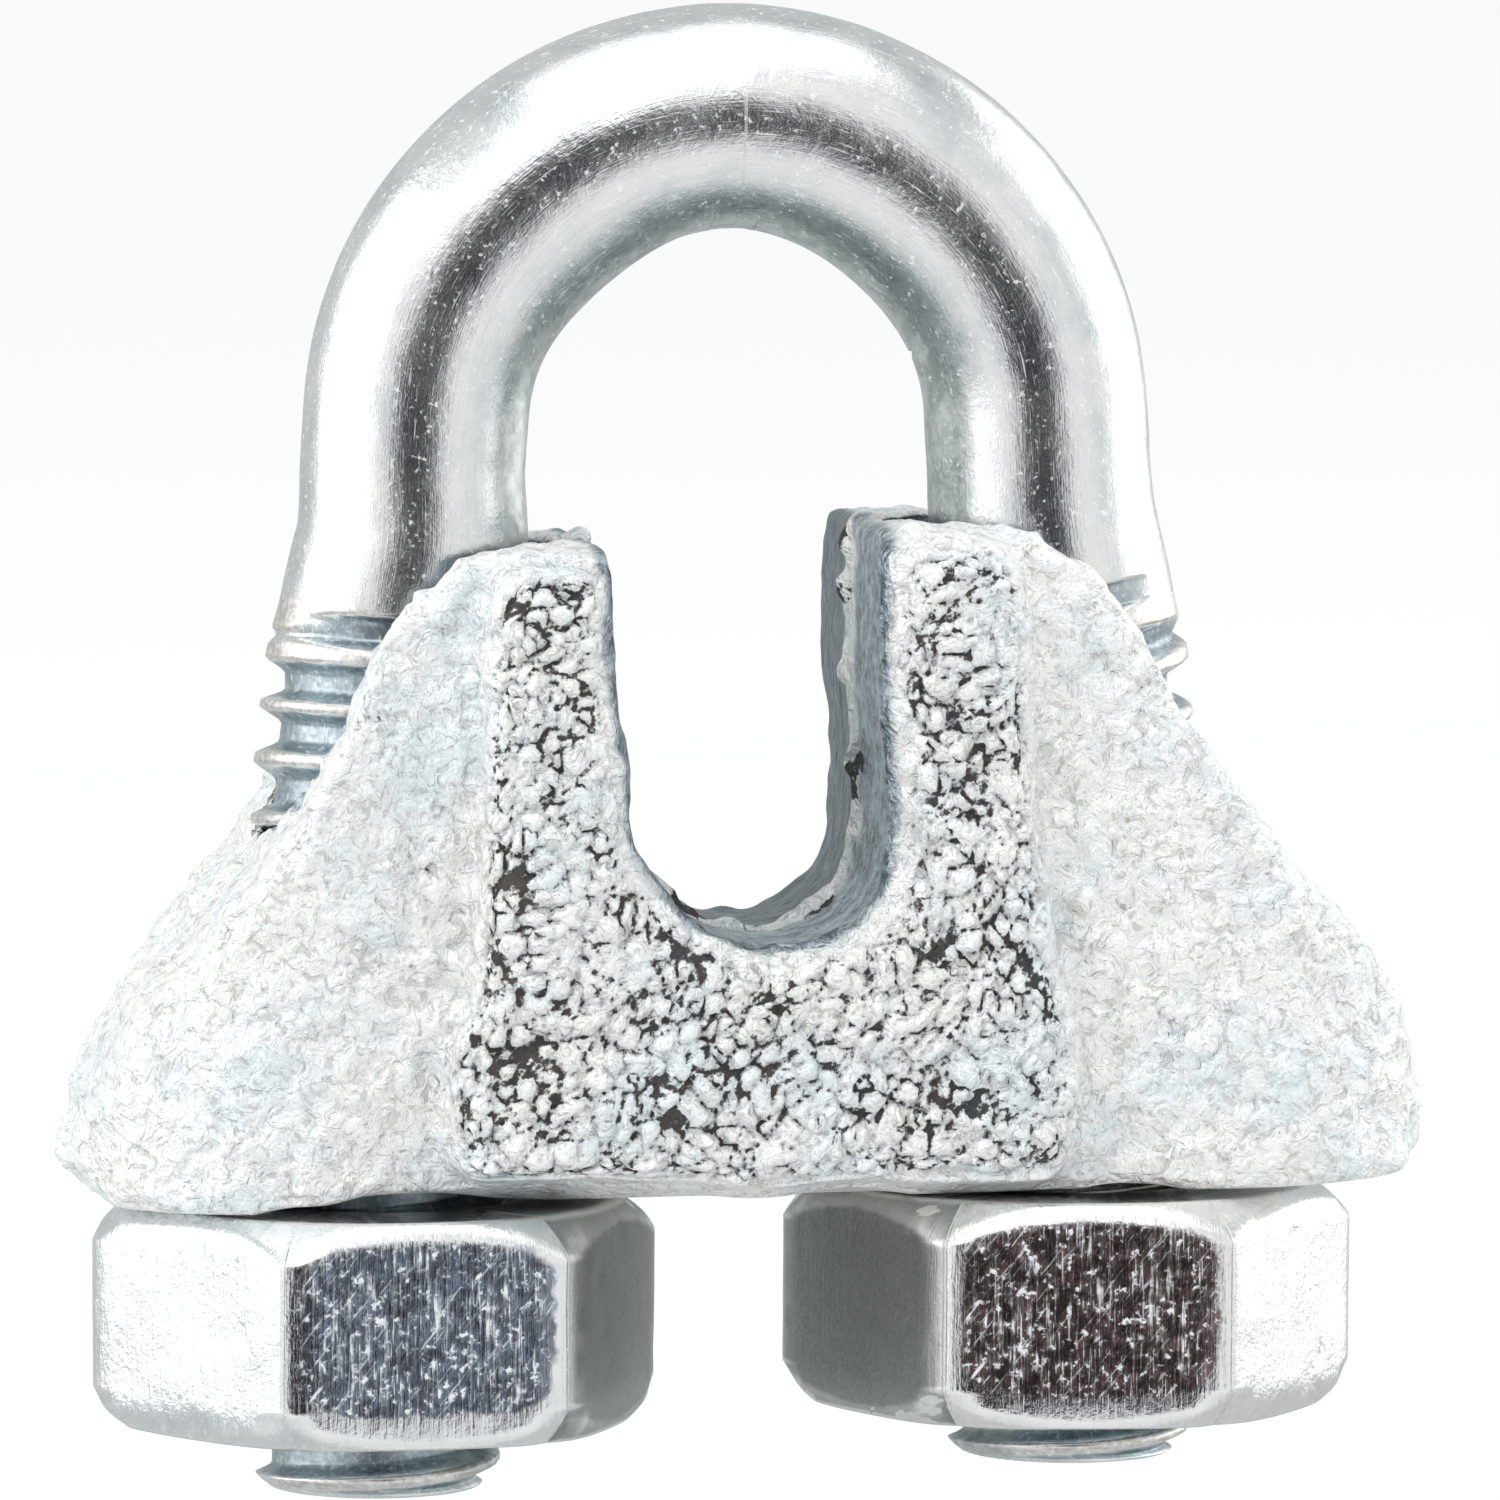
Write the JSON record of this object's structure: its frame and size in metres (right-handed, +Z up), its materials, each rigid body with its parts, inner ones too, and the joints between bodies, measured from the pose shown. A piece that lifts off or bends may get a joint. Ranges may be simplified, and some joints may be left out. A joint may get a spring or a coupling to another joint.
{
  "type": "wire rope clip",
  "caption": "U-bolt wire rope clip: a threaded U-bolt, a cast saddle with a round rope seat, and hex nuts that draw the saddle up onto the rope.",
  "frame": {"origin": "centre of the rope seat, on the rope's axis and midway between the two legs", "axes": "+Z up along the legs towards the bow, X from the left leg to the right leg, Y along the clamped rope"},
  "size_m": [0.0334, 0.0134, 0.037],
  "materials": {
    "u_bolt_steel": "bright zinc plating over rolled steel rod, satin",
    "saddle_casting": "zinc-plated malleable casting, coarse and pitted",
    "nut_steel": "bright zinc plating, wrench flats drawn vertically"
  },
  "bodies": {
    "u_bolt": {"u_bolt": "u_bolt_steel"},
    "saddle": {"saddle": "saddle_casting"},
    "nut_left": {"nut_left": "nut_steel"},
    "nut_right": {"nut_right": "nut_steel"}
  },
  "joints": [
    {"name": "saddle_slide", "type": "slide", "parent": "u_bolt", "child": "saddle", "axis": [0, 0, 1], "range_m": [-0.0069, 0.005]},
    {"name": "nut_left_turn", "type": "hinge", "parent": "saddle", "child": "nut_left", "pos_m": [-0.00873, 0, -0.01245], "axis": [0, 0, 1], "range_deg": [-1890, 1350]},
    {"name": "nut_right_turn", "type": "hinge", "parent": "saddle", "child": "nut_right", "pos_m": [0.00873, 0, -0.01245], "axis": [0, 0, 1], "range_deg": [-1900, 1360]}
  ],
  "couplings": [
    {"joint": "saddle_slide", "follows": "nut_left_turn", "m_per_rad": 0.00020213},
    {"joint": "nut_right_turn", "follows": "nut_left_turn", "ratio": 1}
  ]
}
